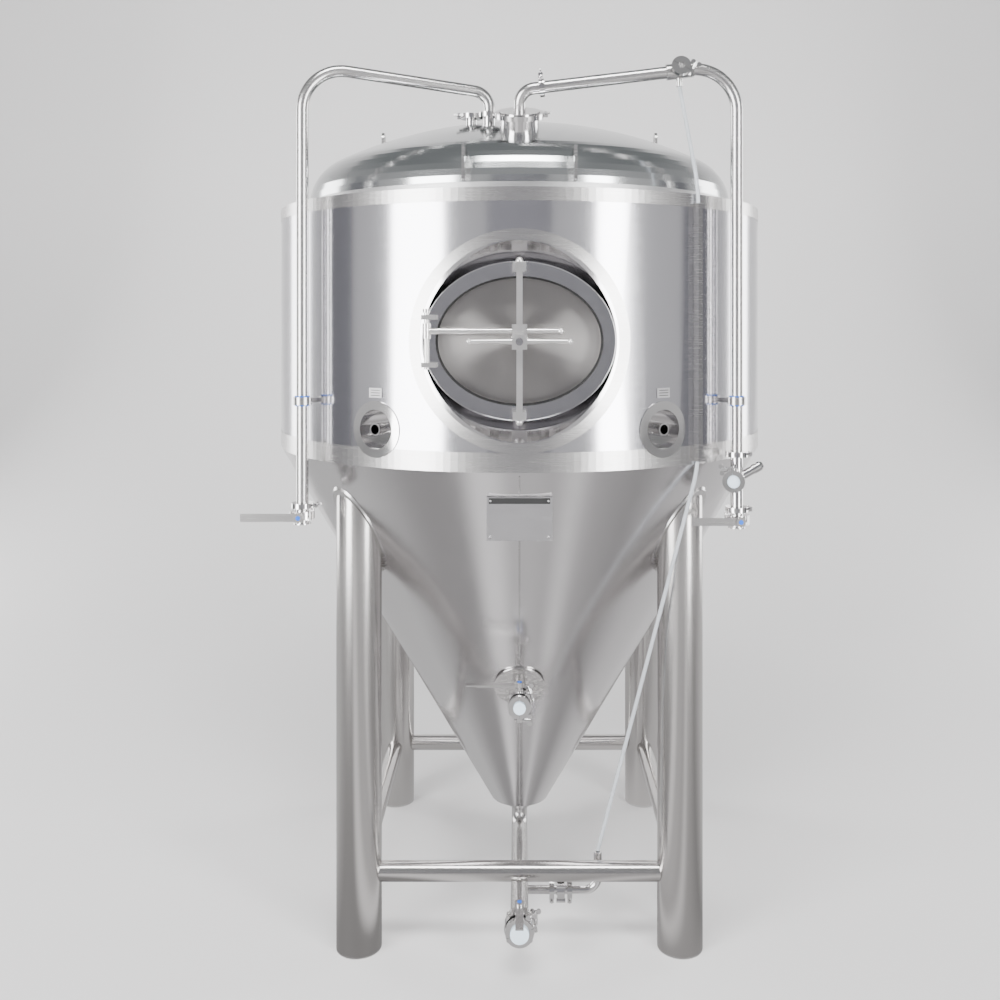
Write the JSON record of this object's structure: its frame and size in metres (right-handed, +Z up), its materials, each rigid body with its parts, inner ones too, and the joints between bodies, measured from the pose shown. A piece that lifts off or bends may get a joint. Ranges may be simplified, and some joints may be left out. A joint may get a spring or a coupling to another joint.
{
  "type": "conical fermenter",
  "caption": "Free-standing insulated stainless conical fermenter with an oval side manway, butterfly valves, overhead gas and cleaning lines and a level sight tube.",
  "frame": {"origin": "on the floor, on the tank's own vertical axis", "axes": "+Z up along the tank, -Y towards the manway at the front, +X to the right seen from the front"},
  "size_m": [1.54, 1.573, 2.5307],
  "materials": {
    "satin_steel": "satin brushed",
    "mirror_steel": "polished sheet with fine grain",
    "polished_steel": "polished cast and machined",
    "mill_steel": "mill finish",
    "foam": "rigid foam",
    "gasket_rubber": "matt black",
    "seat_rubber": "white silicone",
    "blue_silicone": "satin blue",
    "white_plastic": "translucent white",
    "clear_tube": "milky clear",
    "plate_steel": "etched plate"
  },
  "bodies": {
    "tank": {"vessel_barrel": "mill_steel", "vessel_cone": "mill_steel", "top_head": "mirror_steel", "cooling_jacket": "mill_steel", "shell_insulation": "foam", "cone_insulation": "foam", "shell_cladding": "mirror_steel", "cone_cladding": "satin_steel", "top_cover_ring": "mirror_steel", "cone_end_cap": "satin_steel", "leg_front_left": "satin_steel", "leg_front_right": "satin_steel", "leg_rear_left": "satin_steel", "leg_rear_right": "satin_steel", "leg_collars": "satin_steel", "foot_plates": "satin_steel", "brace_front": "satin_steel", "brace_rear": "satin_steel", "brace_left": "satin_steel", "brace_right": "satin_steel", "manway_well": "mirror_steel", "manway_frame": "polished_steel", "yoke_hooks": "polished_steel", "manway_yoke": "polished_steel", "manway_arm": "polished_steel", "arm_block": "polished_steel", "arm_hinge_bracket": "polished_steel", "arm_hinge_pin": "polished_steel", "top_neck": "polished_steel", "top_cap": "polished_steel", "cip_port": "polished_steel", "spare_port": "polished_steel", "lifting_eyes": "satin_steel", "ladder_lugs": "satin_steel", "cip_line": "satin_steel", "spray_ball": "polished_steel", "gas_elbow": "satin_steel", "gas_line": "satin_steel", "gas_cross": "polished_steel", "line_brackets": "satin_steel", "bracket_liners": "blue_silicone", "glycol_ports": "polished_steel", "data_plate": "plate_steel", "racking_port": "satin_steel", "outlet_pipe": "satin_steel", "valve_bodies": "polished_steel", "valve_seats": "seat_rubber", "clamp_rings": "polished_steel", "blank_caps": "white_plastic", "level_tube": "clear_tube"},
    "manway_tee_handle": {"tee_handle": "polished_steel"},
    "manway_door": {"manway_door": "satin_steel", "manway_gasket": "gasket_rubber", "manway_stud": "polished_steel"},
    "cip_valve": {"cip_valve_lever": "satin_steel"},
    "gas_valve": {"gas_valve_lever": "satin_steel"},
    "racking_valve": {"racking_valve_lever": "satin_steel"},
    "outlet_valve": {"outlet_valve_lever": "satin_steel"},
    "level_valve": {"level_valve_lever": "satin_steel"},
    "relief_knob": {"relief_knob": "polished_steel"}
  },
  "joints": [
    {"name": "tee_handle_turn", "type": "hinge", "parent": "tank", "child": "manway_tee_handle", "pos_m": [0, -0.79, 1.745], "axis": [0, -1, 0], "range_deg": [0, 1080]},
    {"name": "door_release", "type": "slide", "parent": "tank", "child": "manway_door", "axis": [0, 1, 0], "range_m": [0, 0.0151]},
    {"name": "cip_valve_turn", "type": "hinge", "parent": "tank", "child": "cip_valve", "pos_m": [-0.608, -0.54, 1.256], "axis": [0, -1, 0], "range_deg": [0, 90]},
    {"name": "gas_valve_turn", "type": "hinge", "parent": "tank", "child": "gas_valve", "pos_m": [0.608, -0.54, 1.245], "axis": [0, -1, 0], "range_deg": [0, 90]},
    {"name": "racking_valve_turn", "type": "hinge", "parent": "tank", "child": "racking_valve", "pos_m": [0, -0.52452, 0.72], "axis": [0, 0, 1], "range_deg": [0, 90]},
    {"name": "outlet_valve_turn", "type": "hinge", "parent": "tank", "child": "outlet_valve", "pos_m": [0, -0.6, 0.135], "axis": [0, 0, 1], "range_deg": [-90, 0]},
    {"name": "level_valve_turn", "type": "hinge", "parent": "tank", "child": "level_valve", "pos_m": [0.12, -0.41, 0.135], "axis": [0, 0, 1], "range_deg": [-90, 0]},
    {"name": "relief_knob_turn", "type": "hinge", "parent": "tank", "child": "relief_knob", "pos_m": [0.608, -0.54, 1.355], "axis": [0.866, 0, 0.5], "range_deg": [-720, 0]}
  ],
  "couplings": [
    {"joint": "door_release", "follows": "tee_handle_turn", "m_per_rad": 0.00079577}
  ]
}
